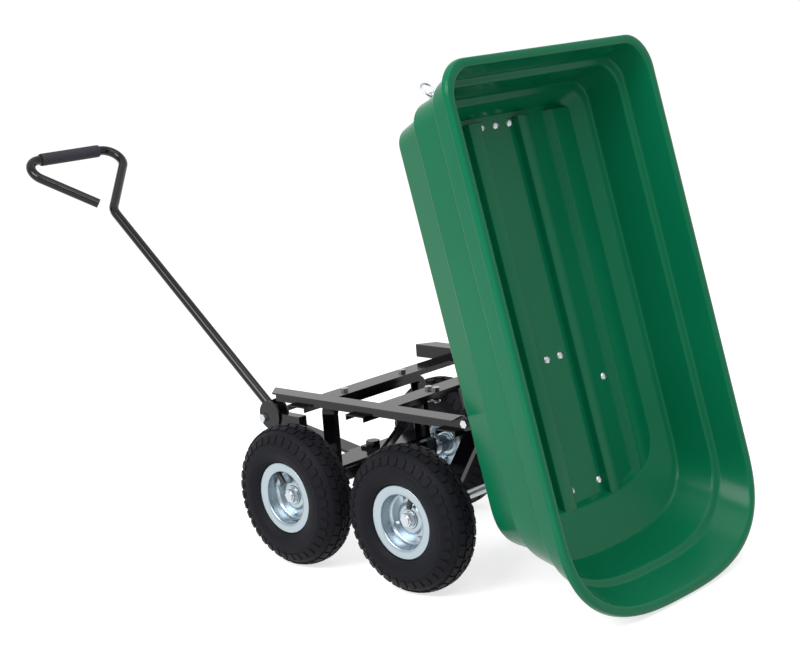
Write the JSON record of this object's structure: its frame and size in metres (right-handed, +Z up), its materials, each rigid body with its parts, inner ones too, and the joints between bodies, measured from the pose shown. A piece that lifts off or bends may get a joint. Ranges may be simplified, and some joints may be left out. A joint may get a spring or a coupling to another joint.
{
  "type": "tipping dump cart",
  "caption": "Garden dump cart with a stepped plastic tub hinged at the rear of a steel chassis, pneumatic wheels, a steered front axle and a pull handle; stored with the tub tipped.",
  "frame": {"origin": "middle of the overall box, on the ground under the tyres", "axes": "+X forward along the pull handle, +Y to the left, +Z up; the chassis mid-plane is Y = 0"},
  "size_m": [1.6024, 0.542, 0.908],
  "materials": {
    "tub_plastic": "satin moulded",
    "black_paint": "gloss powder coat",
    "zinc": "bright zinc plate",
    "rim_zinc": "bright zinc plate",
    "tyre": "matte",
    "tube_rubber": "matte",
    "grip_foam": "matte foam"
  },
  "bodies": {
    "frame": {"left_rail": "black_paint", "right_rail": "black_paint", "front_cross_bar": "black_paint", "mid_cross_bar": "black_paint", "rear_cross_bar": "black_paint", "front_arch": "black_paint", "lower_plate": "black_paint", "stay": "black_paint", "rear_arch": "black_paint", "rear_axle": "zinc", "rear_axle_spacers": "zinc", "rear_axle_nuts": "zinc", "frame_bolts": "zinc", "hinge_bolts": "zinc", "kingpin": "black_paint"},
    "front_gear": {"axle_beam": "black_paint", "front_axle": "zinc", "front_axle_spacers": "zinc", "front_axle_nuts": "zinc", "tongue": "black_paint", "pivot_bolt": "zinc"},
    "handle": {"handle_tube": "black_paint", "handle_grip": "grip_foam", "handle_cheeks": "black_paint"},
    "tub": {"tub": "tub_plastic", "tub_bearers": "black_paint", "hinge_brackets": "black_paint", "tub_bolts": "zinc", "latch_bracket": "black_paint"},
    "latch": {"latch_lever": "zinc", "latch_loop": "zinc"},
    "front_left_wheel": {"front_left_tyre": "tyre", "front_left_inner_tube": "tube_rubber", "front_left_rim_outer": "rim_zinc", "front_left_rim_inner": "rim_zinc", "front_left_hub": "rim_zinc", "front_left_bearings": "zinc", "front_left_rim_bolts": "rim_zinc"},
    "front_right_wheel": {"front_right_tyre": "tyre", "front_right_inner_tube": "tube_rubber", "front_right_rim_outer": "rim_zinc", "front_right_rim_inner": "rim_zinc", "front_right_hub": "rim_zinc", "front_right_bearings": "zinc", "front_right_rim_bolts": "rim_zinc"},
    "rear_left_wheel": {"rear_left_tyre": "tyre", "rear_left_inner_tube": "tube_rubber", "rear_left_rim_outer": "rim_zinc", "rear_left_rim_inner": "rim_zinc", "rear_left_hub": "rim_zinc", "rear_left_bearings": "zinc", "rear_left_rim_bolts": "rim_zinc"},
    "rear_right_wheel": {"rear_right_tyre": "tyre", "rear_right_inner_tube": "tube_rubber", "rear_right_rim_outer": "rim_zinc", "rear_right_rim_inner": "rim_zinc", "rear_right_hub": "rim_zinc", "rear_right_bearings": "zinc", "rear_right_rim_bolts": "rim_zinc"}
  },
  "joints": [
    {"name": "tub_tip", "type": "hinge", "parent": "frame", "child": "tub", "pos_m": [-0.5133, 0, 0.3105], "axis": [0, 1, 0], "range_deg": [0, 76.5]},
    {"name": "latch_swing", "type": "hinge", "parent": "tub", "child": "latch", "pos_m": [-0.40331, 0, 0.73865], "axis": [0, 1, 0], "range_deg": [0, 25]},
    {"name": "steering", "type": "hinge", "parent": "frame", "child": "front_gear", "pos_m": [-0.1073, 0, 0.15], "axis": [0, 0, 1], "range_deg": [-1.5, 6.5]},
    {"name": "handle_swing", "type": "hinge", "parent": "front_gear", "child": "handle", "pos_m": [0.18842, -0.01291, 0.191], "axis": [0.0436, 0.999, 0], "range_deg": [-50, 50]},
    {"name": "front_left_spin", "type": "hinge", "parent": "front_gear", "child": "front_left_wheel", "pos_m": [-0.09862, 0.19881, 0.13], "axis": [0.0436, 0.999, 0], "continuous": true},
    {"name": "front_right_spin", "type": "hinge", "parent": "front_gear", "child": "front_right_wheel", "pos_m": [-0.11598, -0.19881, 0.13], "axis": [0.0436, 0.999, 0], "continuous": true},
    {"name": "rear_left_spin", "type": "hinge", "parent": "frame", "child": "rear_left_wheel", "pos_m": [-0.3833, 0.199, 0.13], "axis": [0, 1, 0], "continuous": true},
    {"name": "rear_right_spin", "type": "hinge", "parent": "frame", "child": "rear_right_wheel", "pos_m": [-0.3833, -0.199, 0.13], "axis": [0, 1, 0], "continuous": true}
  ]
}
